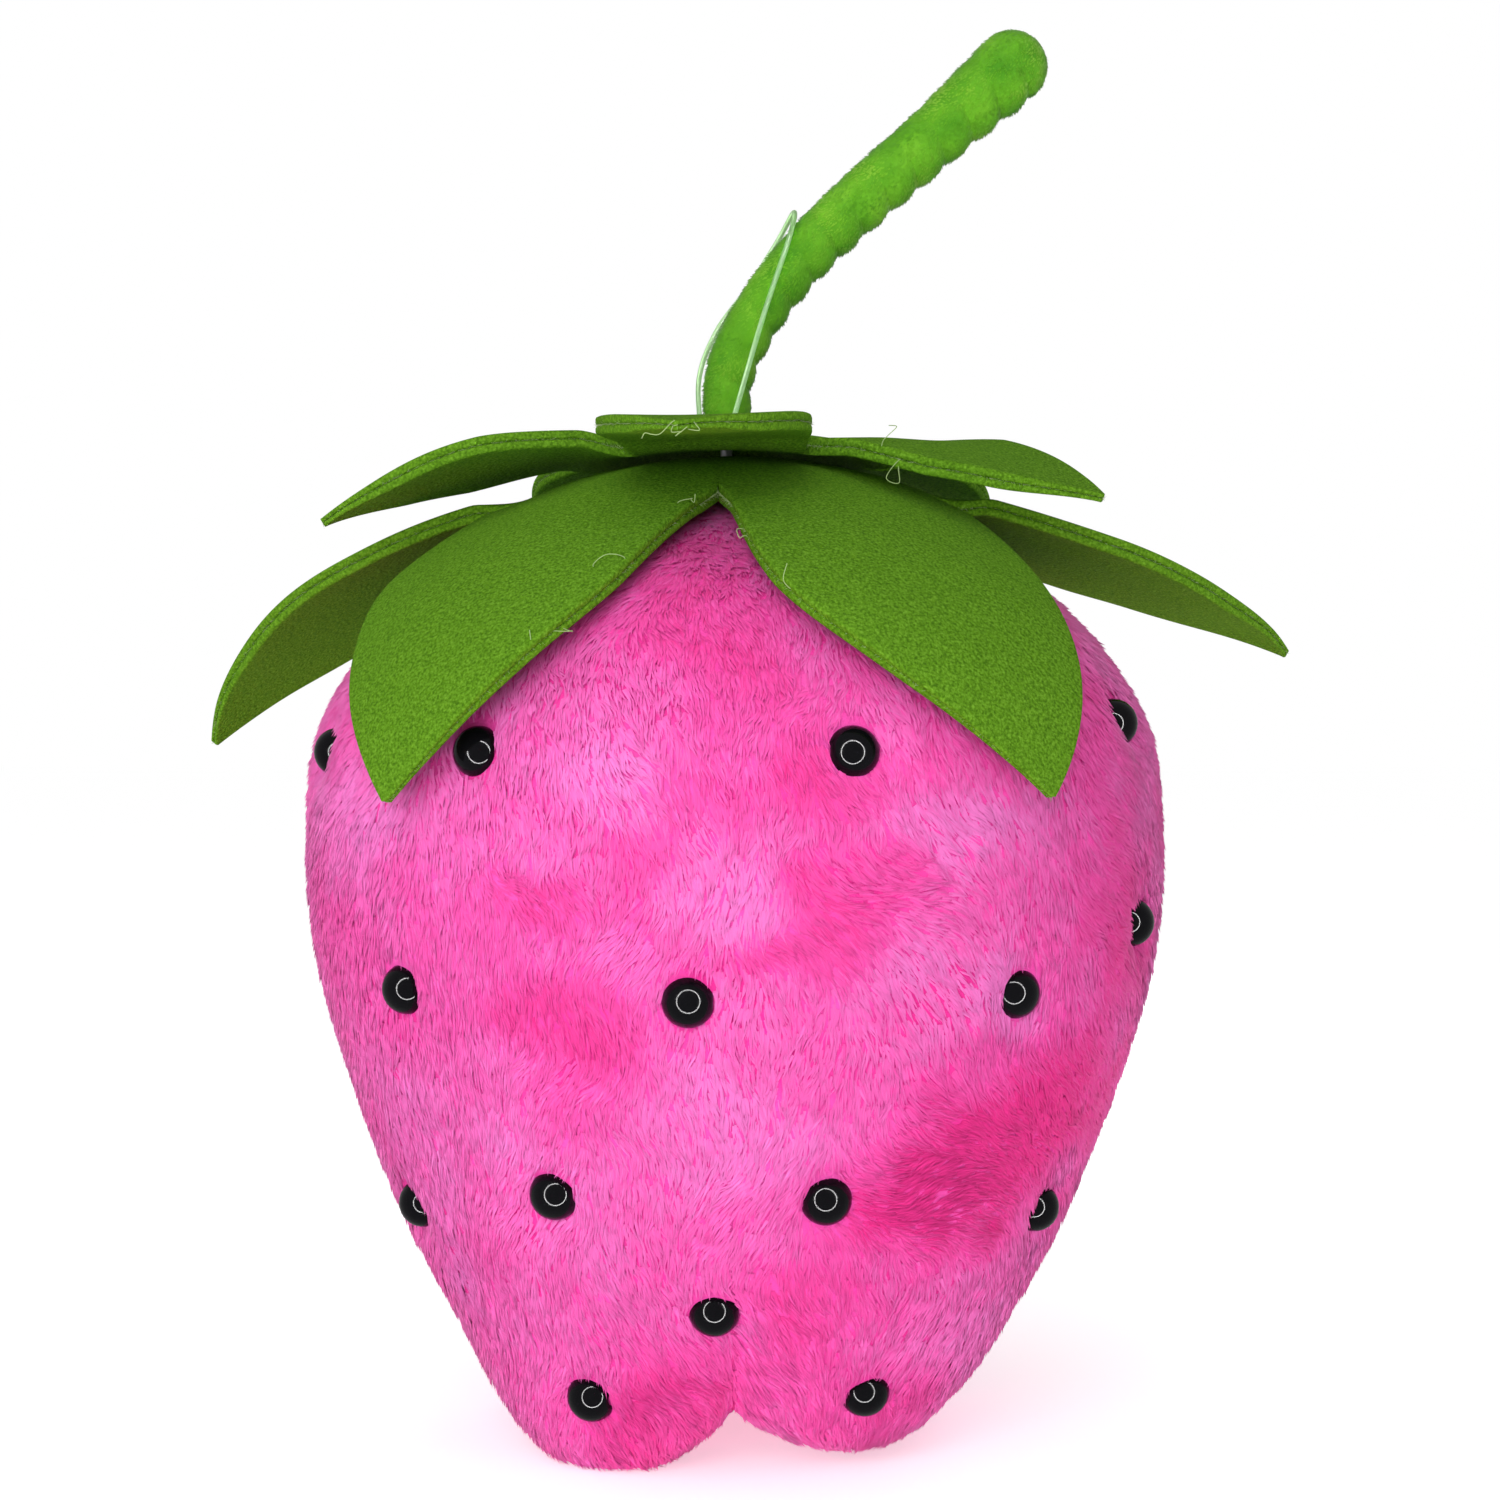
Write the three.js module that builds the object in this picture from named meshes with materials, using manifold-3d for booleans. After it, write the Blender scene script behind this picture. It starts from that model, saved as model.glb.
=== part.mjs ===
// A plush strawberry pincushion: a four-gore stuffed cushion with bead seeds, a two-layer felt
// calyx whose leaves can be lifted, and a bendable wire stem. Millimetres, +Z up, front at -Y.
// The origin is on the surface it stands on, under the cushion's axis.
import * as THREE from 'three';
import { mergeVertices } from 'three/addons/utils/BufferGeometryUtils.js';
import Module from 'manifold-3d';

const wasm = await Module();
wasm.setup();

const GAP = 0.35;

// Cushion: the meridian through the middle of a gore, from the foot to the neck (radius, height).
const MERIDIAN = [
  [0.6, 6.5], [6, 3.4], [12, 0], [18, -2.2], [24, -1.4], [29.6, 4.5], [34.5, 15.5], [39.7, 27.5],
  [45.3, 42], [49, 56], [50, 68.5], [48.1, 82], [40, 94.5], [30, 101.5], [18, 106.3], [8, 108.2],
];
const PLUSH_THICKNESS = 2.4;
const SEAM_LIFT = 10.8;
const SHORT_LOBE_LIFT = 4;
const LOBE_HEIGHT = 15;
const LOBE_START = 12;
const GORE_COLUMNS = 8;
const GORE_ROWS = 20;
const FILLING_CLEARANCE = 1.7;
const FILLING_COLUMNS = 24;
const FILLING_ROWS = 16;
const NECK_RADIUS = 9.6;
const NECK_THREAD_RADIUS = 0.55;
const NECK_THREAD_HEIGHT = 109.3;

// Bead seeds: each row has its height and its azimuths in degrees from the front.
const BEAD_RADIUS = 2.75;
const BEAD_HOLE_RADIUS = 0.6;
const BEAD_PROUD = 0.6;
const BEAD_SIDES = 8;
const BEAD_STEPS = 4;
const BEAD_POCKET_RADIUS = 3.95;
const BEAD_ROWS = [
  { height: 83, azimuths: [66, 112, 204] },
  { height: 79.5, azimuths: [-70, -34, 15, 158, 245] },
  { height: 60, azimuths: [66.5, 160] },
  { height: 53.5, azimuths: [-48, -5.5, 39, 114, 206, 262] },
  { height: 32, azimuths: [-28, 14, 148, 250] },
  { height: 28, azimuths: [-66, 61, 102, 193] },
  { height: 19, azimuths: [-3, 95, 176, 268] },
  { height: 8.5, azimuths: [-31, 30, 150, 208] },
];

// Felt calyx. The leaves hinge on the edges of a pentagon, level with its top face.
const FELT_THICKNESS = 2;
const STAR_UNDERCUT = 1.4;
const STAR_POINTS = 5;
const LEAF_STEPS = 9;
const LEAF_STRIPS = 4;
const LEAF_TIP_HALF_WIDTH = 0.7;
const LOWER_STAR = {
  name: 'lower', corner: 24, crown: [2.6, 113.4], shoulder: [12, 112], edge: 108.4, turn: -4,
  halfWidth: 17.2, widestAt: 0.42,
};
const UPPER_STAR = {
  name: 'upper', corner: 15, crown: [2.6, 116], shoulder: [9, 115.5], edge: 114.4, turn: 29,
  halfWidth: 11.6, widestAt: 0.42,
};
// Each leaf: azimuth in degrees, tip (radius, height), the two points that steer its curve, how
// closely it wraps round the cushion from side to side (0 flat, 1 follows it), how far its tip
// is swept to the right, how far its middle bows to the right, and how many degrees it rolls
// about its centreline, right edge down.
const LOWER_LEAVES = [
  { side: 'front_left', azimuth: -40, tip: [55.5, 74],
    bend: [[37, 104], [53, 93]], wrap: 0.95, sweep: 0, bow: 0, roll: 0 },
  { side: 'front_right', azimuth: 32, tip: [55, 74.5],
    bend: [[37, 104], [53, 93]], wrap: 0.95, sweep: 4, bow: -3, roll: 0 },
  { side: 'left', azimuth: -112, tip: [71.5, 80.5],
    bend: [[40, 105], [60, 96]], wrap: 0.5, sweep: 0, bow: 0, roll: 0 },
  { side: 'right', azimuth: 104, tip: [70, 91.5],
    bend: [[38, 105], [58, 99]], wrap: 0.3, sweep: 0, bow: 0, roll: 0 },
  { side: 'back', azimuth: 176, tip: [51.4, 80],
    bend: [[37, 104], [49.5, 94]], wrap: 0.95, sweep: 2, bow: 0, roll: 0 },
];
const UPPER_LEAVES = [
  { side: 'front', azimuth: -7, tip: [47, 112.4],
    bend: [[26, 115.6], [36, 115]], wrap: 0, sweep: 0, bow: 0, roll: 0 },
  { side: 'left', azimuth: -79, tip: [48, 105.5],
    bend: [[26, 115], [38, 112]], wrap: 0, sweep: 0, bow: 0, roll: -6.5 },
  { side: 'right', azimuth: 65, tip: [45, 107.5],
    bend: [[24, 115], [34, 112.5]], wrap: 0, sweep: 0, bow: 0, roll: -11 },
  { side: 'back_left', azimuth: -151, tip: [46, 107],
    bend: [[25, 115], [35, 113]], wrap: 0, sweep: 2, bow: 0, roll: 0 },
  { side: 'back_right', azimuth: 137, tip: [46, 108],
    bend: [[25, 115], [35, 113]], wrap: 0, sweep: -1, bow: 0, roll: 0 },
];

// Stem: centreline in the plane y = 0 (x, z) with the cover's radius at each point. It leans at
// its foot and bends at its elbow.
const STEM_FOOT = { x: -1, z: 119.2, radius: 2.8 };
const STEM_ELBOW = { x: 15.3, z: 144, radius: 3.4 };
const STEM_TIP = { x: 32.3, z: 159, radius: 4.2 };
const LOWER_STEM_BEND = [[-0.2, 124.6], [3.8, 131.8], [8.8, 137.8]];
const UPPER_STEM_BEND = [[22, 149.8], [28, 155.2]];
const STEM_SIDES = 14;
const WIRE_RADIUS = 0.7;
const WIRE_CHANNEL_RADIUS = 1.05;
const WIRE_END_DEPTH = 3;
const ANCHOR_TOP = 115.9;
const ANCHOR_BEND = [[-1, 0, 95], [-1, 0, 87], [2, 0, 83], [8, 0, 83]];
const ANCHOR_END_ROOM = 0.8;

// Nylon thread, up the front of the stem, over its left edge and down behind it.
const NYLON_RADIUS = 0.3;
const NYLON_STEPS = 26;
const NYLON_ROUTE = [
  [-0.6, -4.4, 117], [3.2, -4.3, 129], [6.2, -3.1, 138.2], [6.9, -0.2, 142],
  [4.9, 2.9, 139], [1.4, 3.3, 133.6], [-2.2, 2, 128.4], [-4.2, -0.4, 122.5], [-3.9, -3.2, 117],
];

const COLOURS = {
  plush: 0xf03fa8, filling: 0xf4f1ea, bead: 0x0a0a0c, felt: 0x4f8a1c, stem: 0x74c22c,
  wire: 0x9a9a9a, nylon: 0xe8f0ee, thread: 0xd8359a, glue: 0xf2ead2,
};

const radians = THREE.MathUtils.degToRad;

/** A point at an azimuth (radians from the front, positive to the right). */
function around(azimuth, radius, height) {
  return new THREE.Vector3(radius * Math.sin(azimuth), -radius * Math.cos(azimuth), height);
}

function signedVolume(geometry) {
  const position = geometry.getAttribute('position');
  const index = geometry.getIndex();
  const [a, b, c] = [new THREE.Vector3(), new THREE.Vector3(), new THREE.Vector3()];
  let volume = 0;
  for (let i = 0; i < index.count; i += 3) {
    a.fromBufferAttribute(position, index.getX(i));
    b.fromBufferAttribute(position, index.getX(i + 1));
    c.fromBufferAttribute(position, index.getX(i + 2));
    volume += a.dot(b.cross(c)) / 6;
  }
  return volume;
}

/** A geometry from points and triangles, turned so that its faces point out. */
function closedGeometry(points, triangles) {
  const geometry = new THREE.BufferGeometry().setFromPoints(points);
  geometry.setIndex(triangles.flat());
  if (signedVolume(geometry) < 0) {
    geometry.setIndex(triangles.flatMap(([a, b, c]) => [a, c, b]));
  }
  geometry.computeVertexNormals();
  return geometry;
}

/** A solid between two grids of points of the same size, with walls round its four edges. */
function slab(front, back) {
  const rows = front.length;
  const columns = front[0].length;
  const points = [...front.flat(), ...back.flat()];
  const triangles = [];
  const at = (side, row, column) => side * rows * columns + row * columns + column;
  const quad = (a, b, c, d) => triangles.push([a, b, c], [a, c, d]);
  for (let row = 0; row < rows - 1; row += 1) {
    for (let column = 0; column < columns - 1; column += 1) {
      const corners = [[row, column], [row, column + 1], [row + 1, column + 1], [row + 1, column]];
      quad(...corners.map(([i, j]) => at(0, i, j)));
      quad(...corners.map(([i, j]) => at(1, i, j)).reverse());
    }
  }
  const rim = [];
  for (let column = 0; column < columns - 1; column += 1) rim.push([0, column]);
  for (let row = 0; row < rows - 1; row += 1) rim.push([row, columns - 1]);
  for (let column = columns - 1; column > 0; column -= 1) rim.push([rows - 1, column]);
  for (let row = rows - 1; row > 0; row -= 1) rim.push([row, 0]);
  rim.forEach(([row, column], i) => {
    const [nextRow, nextColumn] = rim[(i + 1) % rim.length];
    quad(at(0, nextRow, nextColumn), at(0, row, column), at(1, row, column), at(1, nextRow, nextColumn));
  });
  return closedGeometry(points, triangles);
}

/** A solid through closed rings of points, with a fan over each end. */
function loft(rings) {
  const sides = rings[0].length;
  const points = rings.flat();
  const triangles = [];
  for (let ring = 0; ring < rings.length - 1; ring += 1) {
    for (let side = 0; side < sides; side += 1) {
      const a = ring * sides + side;
      const b = ring * sides + ((side + 1) % sides);
      triangles.push([a, b, b + sides], [a, b + sides, a + sides]);
    }
  }
  [rings[0], rings[rings.length - 1]].forEach((ring, end) => {
    const middle = points.push(meanOf(ring)) - 1;
    const first = end * (rings.length - 1) * sides;
    for (let side = 0; side < sides; side += 1) {
      const next = first + ((side + 1) % sides);
      triangles.push(end ? [first + side, next, middle] : [next, first + side, middle]);
    }
  });
  return closedGeometry(points, triangles);
}

function meanOf(points) {
  return points.reduce((sum, p) => sum.add(p), new THREE.Vector3()).divideScalar(points.length);
}

function toSolid(geometry) {
  const bare = geometry.clone();
  bare.deleteAttribute('normal');
  bare.deleteAttribute('uv');
  const merged = mergeVertices(bare, 1e-4);
  return new wasm.Manifold(new wasm.Mesh({
    numProp: 3,
    vertProperties: new Float32Array(merged.getAttribute('position').array),
    triVerts: new Uint32Array(merged.getIndex().array),
  }));
}

function fromSolid(solid) {
  const { vertProperties, triVerts, numProp } = solid.getMesh();
  const geometry = new THREE.BufferGeometry();
  geometry.setAttribute('position', new THREE.BufferAttribute(vertProperties, numProp));
  geometry.setIndex(new THREE.BufferAttribute(triVerts, 1));
  geometry.computeVertexNormals();
  return geometry;
}

function part(name, geometry, color, roughness = 0.9, metalness = 0) {
  const mesh = new THREE.Mesh(
    geometry,
    new THREE.MeshStandardMaterial({ color, roughness, metalness }),
  );
  mesh.name = name;
  return mesh;
}

// ---- cushion ----

const meridian = new THREE.SplineCurve(MERIDIAN.map(([r, z]) => new THREE.Vector2(r, z)));

/**
 * The cushion's surface: the foot is drawn up at the four seams, and flat where it stands. The
 * front right lobe is a little shorter than the other three, and stands clear.
 */
function cushionPoint(azimuth, along) {
  const { x: radius, y: height } = meridian.getPointAt(along);
  const lobe = Math.abs(Math.sin(2 * azimuth));
  const isShort = Math.sin(azimuth) > 0 && Math.cos(azimuth) > 0;
  const lift = SEAM_LIFT * (1 - lobe ** 0.9) + (isShort ? SHORT_LOBE_LIFT * lobe : 0);
  const fade = Math.exp(-((height / LOBE_HEIGHT) ** 2)) * (1 - Math.exp(-radius / LOBE_START));
  return around(azimuth, radius, Math.max(0, height + lift * fade));
}

function cushionNormal(azimuth, along) {
  const step = 1e-3;
  const before = Math.max(0, along - step);
  const after = Math.min(1, along + step);
  const across = cushionPoint(azimuth + step, along).sub(cushionPoint(azimuth - step, along));
  const up = cushionPoint(azimuth, after).sub(cushionPoint(azimuth, before));
  return across.cross(up).normalize();
}

function insideCushion(azimuth, along, depth) {
  return cushionPoint(azimuth, along).addScaledVector(cushionNormal(azimuth, along), -depth);
}

/** Where a height comes on the cushion's side, as a share of the way along the meridian. */
function alongAtHeight(azimuth, height) {
  let low = 0.2;
  let high = 1;
  for (let i = 0; i < 30; i += 1) {
    const middle = (low + high) / 2;
    if (cushionPoint(azimuth, middle).z < height) low = middle;
    else high = middle;
  }
  return low;
}

function beadPlaces() {
  return BEAD_ROWS.flatMap(({ height, azimuths }) => azimuths.map((degrees) => {
    const azimuth = radians(degrees);
    const centre = insideCushion(azimuth, alongAtHeight(azimuth, height), BEAD_RADIUS - BEAD_PROUD);
    return { azimuth, centre };
  }));
}

/** A bead with a hole through it, which lies level along the cushion. */
function bead({ azimuth, centre }, number) {
  const rim = Math.asin(BEAD_HOLE_RADIUS / BEAD_RADIUS);
  const outline = [];
  for (let i = 0; i <= BEAD_STEPS; i += 1) {
    const angle = rim + ((Math.PI - 2 * rim) * i) / BEAD_STEPS;
    outline.push(new THREE.Vector2(BEAD_RADIUS * Math.sin(angle), -BEAD_RADIUS * Math.cos(angle)));
  }
  outline.push(outline[0].clone());
  const geometry = closedLathe(outline, BEAD_SIDES);
  const name = `bead_${String(number + 1).padStart(2, '0')}`;
  const mesh = part(name, geometry, COLOURS.bead, 0.15);
  mesh.quaternion.setFromUnitVectors(
    new THREE.Vector3(0, 1, 0),
    new THREE.Vector3(Math.cos(azimuth), Math.sin(azimuth), 0),
  );
  mesh.position.copy(centre);
  return mesh;
}

/** A lathe of an outline that closes on itself, with its faces pointing out. */
function closedLathe(outline, segments, start = 0) {
  const lathe = new THREE.LatheGeometry(outline, segments, start);
  lathe.deleteAttribute('normal');
  lathe.deleteAttribute('uv');
  const merged = mergeVertices(lathe, 1e-4);
  const position = merged.getAttribute('position');
  const points = Array.from({ length: position.count }, (_, i) => (
    new THREE.Vector3().fromBufferAttribute(position, i)));
  const index = merged.getIndex().array;
  const triangles = [];
  for (let i = 0; i < index.length; i += 3) {
    const corners = [index[i], index[i + 1], index[i + 2]];
    if (new Set(corners).size === 3) triangles.push(corners);
  }
  return closedGeometry(points, triangles);
}

function beadPockets(places) {
  return places
    .map(({ centre }) => {
      const ball = new THREE.IcosahedronGeometry(BEAD_POCKET_RADIUS);
      return toSolid(ball.translate(centre.x, centre.y, centre.z));
    })
    .reduce((all, ball) => all.add(ball));
}

/** One gore of the cover, moved out from its two seams by half the gap between gores. */
function gore(name, startAzimuth, pockets) {
  const grid = (depth) => Array.from({ length: GORE_ROWS + 1 }, (_, row) => (
    Array.from({ length: GORE_COLUMNS + 1 }, (__, column) => {
      const azimuth = startAzimuth + ((Math.PI / 2) * column) / GORE_COLUMNS;
      return insideCushion(azimuth, row / GORE_ROWS, depth);
    })));
  const shell = slab(grid(0), grid(PLUSH_THICKNESS));
  const out = around(startAzimuth + Math.PI / 4, (GAP / 2) * Math.SQRT2, 0);
  shell.translate(out.x, out.y, 0);
  return part(name, fromSolid(toSolid(shell).subtract(pockets)), COLOURS.plush);
}

function filling(pockets, wireChannel) {
  const rings = Array.from({ length: FILLING_ROWS + 1 }, (_, row) => (
    Array.from({ length: FILLING_COLUMNS }, (__, column) => {
      const azimuth = (2 * Math.PI * column) / FILLING_COLUMNS;
      return insideCushion(azimuth, row / FILLING_ROWS, PLUSH_THICKNESS + FILLING_CLEARANCE);
    })));
  const solid = toSolid(loft(rings)).subtract(pockets).subtract(wireChannel);
  return part('fibre_filling', fromSolid(solid), COLOURS.filling);
}

/** A ring of thread that draws the neck of the cover together. */
function neckThread() {
  const ring = new THREE.TorusGeometry(NECK_RADIUS, NECK_THREAD_RADIUS, 6, 24);
  return part('neck_thread', ring.translate(0, 0, NECK_THREAD_HEIGHT), COLOURS.thread);
}

/** Glue that fills the neck round the wire. */
function calyxGlue() {
  const outline = [[1.3, 106.6], [5.6, 106.6], [6.8, 109.8], [1.3, 110.4], [1.3, 106.6]];
  const plug = closedLathe(outline.map(([r, z]) => new THREE.Vector2(r, z)), 20);
  plug.rotateX(Math.PI / 2);
  plug.translate(STEM_FOOT.x, 0, 0);
  return part('calyx_glue', plug, COLOURS.glue, 0.5);
}

// ---- calyx ----

/**
 * The pentagon in the middle of a star: a domed plate with a hole for the wire. Its rim is
 * undercut, which leaves room for the leaves to turn.
 */
function starCentre(star) {
  const top = [star.crown, star.shoulder, [star.corner, star.edge]];
  const lower = [star.crown, star.shoulder, [star.corner - STAR_UNDERCUT, star.edge]];
  const bottom = lower.map(([r, z]) => [r, z - FELT_THICKNESS]).reverse();
  const outline = [...top, ...bottom, top[0]].map(([r, z]) => new THREE.Vector2(r, z));
  const plate = closedLathe(outline, STAR_POINTS);
  plate.rotateX(Math.PI / 2);
  plate.rotateZ(radians(star.turn));
  return part(`${star.name}_calyx_centre`, plate, COLOURS.felt);
}

/** Half the width of a leaf, at a share of its length: a pointed oval. */
function leafHalfWidth(star, share) {
  const base = star.corner * Math.sin(Math.PI / STAR_POINTS) - GAP;
  if (share < star.widestAt) {
    const rise = Math.sin((Math.PI / 2) * (share / star.widestAt));
    return base + (star.halfWidth - base) * rise;
  }
  const left = (share - star.widestAt) / (1 - star.widestAt);
  return LEAF_TIP_HALF_WIDTH + (star.halfWidth - LEAF_TIP_HALF_WIDTH) * (1 - left ** 1.7);
}

/** A leaf of felt from the pentagon's edge to its tip, bent lengthwise and from side to side. */
function leaf(star, { side, azimuth, tip, bend, wrap, sweep, bow, roll }) {
  const root = star.corner * Math.cos(Math.PI / STAR_POINTS) + GAP;
  const line = new THREE.CubicBezierCurve(
    new THREE.Vector2(root, star.edge),
    ...bend.map(([r, z]) => new THREE.Vector2(r, z)),
    new THREE.Vector2(...tip),
  );
  const outward = around(radians(azimuth), 1, 0);
  const sideways = new THREE.Vector3(-outward.y, outward.x, 0);
  const grid = (depth) => Array.from({ length: LEAF_STEPS + 1 }, (_, step) => {
    const share = step / LEAF_STEPS;
    const middle = line.getPointAt(share);
    const heading = line.getTangentAt(share);
    const normal = outward.clone().multiplyScalar(-heading.y).setZ(heading.x);
    const turn = radians(roll) * Math.min(1, 2 * share);
    const across = sideways.clone().multiplyScalar(Math.cos(turn)).addScaledVector(normal, -Math.sin(turn));
    const up = normal.multiplyScalar(Math.cos(turn)).addScaledVector(sideways, Math.sin(turn));
    const curve = Math.max(1e-6, (-heading.y * wrap) / middle.x);
    const halfWidth = leafHalfWidth(star, share);
    const aside = sweep * share ** 2 + bow * (4 * share * (1 - share)) ** 2;
    return Array.from({ length: LEAF_STRIPS + 1 }, (__, strip) => {
      const angle = halfWidth * curve * ((2 * strip) / LEAF_STRIPS - 1);
      const reach = 1 / curve - depth;
      return outward.clone().multiplyScalar(middle.x).setZ(middle.y)
        .addScaledVector(sideways, aside)
        .addScaledVector(across, Math.sin(angle) * reach)
        .addScaledVector(up, Math.cos(angle) * reach - 1 / curve);
    });
  });
  return part(`${star.name}_leaf_${side}`, slab(grid(0), grid(FELT_THICKNESS)), COLOURS.felt);
}

// ---- stem ----

/** A ring round a point of the stem's centreline, square to its heading in the plane y = 0. */
function stemRing(centre, heading, radius) {
  const across = new THREE.Vector3(-heading.z, 0, heading.x);
  return Array.from({ length: STEM_SIDES }, (_, side) => {
    const angle = (2 * Math.PI * side) / STEM_SIDES;
    return centre.clone()
      .addScaledVector(across, radius * Math.cos(angle))
      .add(new THREE.Vector3(0, radius * Math.sin(angle), 0));
  });
}

/** The rings of a round end, from its tip to its full radius. */
function roundEnd(centre, outwards, heading, radius) {
  return [0.12, 0.5, 0.8].map((share) => {
    const angle = (Math.PI / 2) * (1 - share);
    const middle = centre.clone().addScaledVector(outwards, radius * Math.sin(angle));
    return stemRing(middle, heading, radius * Math.cos(angle));
  });
}

function stemCurve(from, bend, to) {
  const points = [[from.x, from.z], ...bend, [to.x, to.z]];
  return new THREE.CatmullRomCurve3(points.map(([x, z]) => new THREE.Vector3(x, 0, z)));
}

/** A round rod along a stem curve, its radius going evenly from one end's to the other's. */
function rod(curve, startRadius, endRadius, startIsRound, endIsRound) {
  const steps = 7;
  const rings = Array.from({ length: steps + 1 }, (_, step) => {
    const share = step / steps;
    const radius = startRadius + (endRadius - startRadius) * share;
    return stemRing(curve.getPointAt(share), curve.getTangentAt(share), radius);
  });
  const [first, last] = [curve.getTangentAt(0), curve.getTangentAt(1)];
  if (startIsRound) {
    rings.unshift(...roundEnd(curve.getPointAt(0), first.clone().negate(), first, startRadius));
  }
  if (endIsRound) rings.push(...roundEnd(curve.getPointAt(1), last, last, endRadius).reverse());
  return loft(rings);
}

/** A curve's points, run straight on past its two ends by the given lengths. */
function extended(curve, before, after) {
  const points = curve.getSpacedPoints(6);
  points[0].addScaledVector(curve.getTangentAt(0), -before);
  points[6].addScaledVector(curve.getTangentAt(1), after);
  return new THREE.CatmullRomCurve3(points);
}

function lowerStem() {
  const curve = stemCurve(STEM_FOOT, LOWER_STEM_BEND, STEM_ELBOW);
  const { radius: foot } = STEM_FOOT;
  const { radius: elbow } = STEM_ELBOW;
  const channel = rod(extended(curve, foot + 1, elbow + 1), WIRE_CHANNEL_RADIUS, WIRE_CHANNEL_RADIUS);
  const cover = toSolid(rod(curve, foot, elbow, true, true)).subtract(toSolid(channel));
  const wire = rod(extended(curve, foot - 0.8, elbow - GAP), WIRE_RADIUS, WIRE_RADIUS);
  return [
    part('stem_lower_cover', fromSolid(cover), COLOURS.stem),
    part('stem_lower_wire', wire, COLOURS.wire, 0.4, 1),
  ];
}

/** The upper stem starts with a hollow that turns on the lower stem's round end. */
function upperStem() {
  const curve = stemCurve(STEM_ELBOW, UPPER_STEM_BEND, STEM_TIP);
  const { radius: elbow } = STEM_ELBOW;
  const hollow = new THREE.IcosahedronGeometry(elbow + 2 * GAP, 2)
    .translate(STEM_ELBOW.x, 0, STEM_ELBOW.z);
  const channel = rod(extended(curve, 0, -WIRE_END_DEPTH), WIRE_CHANNEL_RADIUS, WIRE_CHANNEL_RADIUS);
  const cover = toSolid(rod(curve, elbow, STEM_TIP.radius, false, true))
    .subtract(toSolid(hollow))
    .subtract(toSolid(channel));
  const wire = rod(
    extended(curve, -elbow - 3 * GAP, -WIRE_END_DEPTH - GAP),
    WIRE_RADIUS,
    WIRE_RADIUS,
  );
  return [
    part('stem_upper_cover', fromSolid(cover), COLOURS.stem),
    part('stem_upper_wire', wire, COLOURS.wire, 0.4, 1),
  ];
}

/** A round cord along a route of points. */
function cord(route, radius, steps) {
  const sides = 8;
  const section = new THREE.Shape(Array.from({ length: sides }, (_, side) => {
    const angle = (2 * Math.PI * side) / sides;
    return new THREE.Vector2(radius * Math.cos(angle), radius * Math.sin(angle));
  }));
  const path = new THREE.CatmullRomCurve3(route.map((p) => new THREE.Vector3(...p)));
  const options = { steps, extrudePath: path, bevelEnabled: false };
  return new THREE.ExtrudeGeometry(section, options);
}

const places = beadPlaces();
const pockets = beadPockets(places);
const anchorRoute = [[STEM_FOOT.x, 0, ANCHOR_TOP], ...ANCHOR_BEND];
const [anchorEndX, , anchorEndZ] = ANCHOR_BEND[ANCHOR_BEND.length - 1];
const channelEnd = [anchorEndX + ANCHOR_END_ROOM, 0, anchorEndZ];
const channelRoute = [...anchorRoute.slice(0, -1), channelEnd];
const anchorChannel = cord(channelRoute, WIRE_CHANNEL_RADIUS, 12);

const strawberry = new THREE.Group();
strawberry.add(
  gore('gore_front_right', 0, pockets),
  gore('gore_back_right', Math.PI / 2, pockets),
  gore('gore_back_left', Math.PI, pockets),
  gore('gore_front_left', (3 * Math.PI) / 2, pockets),
  filling(pockets, toSolid(anchorChannel)),
  neckThread(),
  calyxGlue(),
  starCentre(LOWER_STAR),
  starCentre(UPPER_STAR),
  part('anchor_wire', cord(anchorRoute, WIRE_RADIUS, 12), COLOURS.wire, 0.4, 1),
  part('nylon_loop', cord(NYLON_ROUTE, NYLON_RADIUS, NYLON_STEPS), COLOURS.nylon, 0.1),
  ...lowerStem(),
  ...upperStem(),
  ...LOWER_LEAVES.map((shape) => leaf(LOWER_STAR, shape)),
  ...UPPER_LEAVES.map((shape) => leaf(UPPER_STAR, shape)),
  ...places.map(bead),
);

export default strawberry;
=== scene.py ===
"""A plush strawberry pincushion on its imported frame: plush gores, sewn-on beads, felt, stem.

Metres, +Z up, front at -Y. Shapes are written in millimetres and scaled by MM.
"""
import math

import bpy
import numpy as np
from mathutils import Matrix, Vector, noise


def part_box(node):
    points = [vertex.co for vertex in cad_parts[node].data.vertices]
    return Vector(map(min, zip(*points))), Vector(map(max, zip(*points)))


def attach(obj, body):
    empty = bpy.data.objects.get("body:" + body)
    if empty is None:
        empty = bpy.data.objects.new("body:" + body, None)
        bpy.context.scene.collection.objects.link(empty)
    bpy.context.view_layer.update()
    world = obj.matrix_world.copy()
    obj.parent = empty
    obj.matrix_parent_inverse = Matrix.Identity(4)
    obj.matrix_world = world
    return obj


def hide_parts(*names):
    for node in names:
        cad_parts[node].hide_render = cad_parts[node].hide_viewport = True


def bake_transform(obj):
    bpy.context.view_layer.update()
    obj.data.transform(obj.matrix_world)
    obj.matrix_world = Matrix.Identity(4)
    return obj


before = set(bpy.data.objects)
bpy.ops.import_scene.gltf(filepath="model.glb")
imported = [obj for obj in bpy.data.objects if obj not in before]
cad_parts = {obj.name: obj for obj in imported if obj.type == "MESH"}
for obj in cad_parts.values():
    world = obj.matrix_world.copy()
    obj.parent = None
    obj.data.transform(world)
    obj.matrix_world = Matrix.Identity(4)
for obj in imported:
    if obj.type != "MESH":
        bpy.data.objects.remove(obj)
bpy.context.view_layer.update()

MM = 0.001

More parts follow.
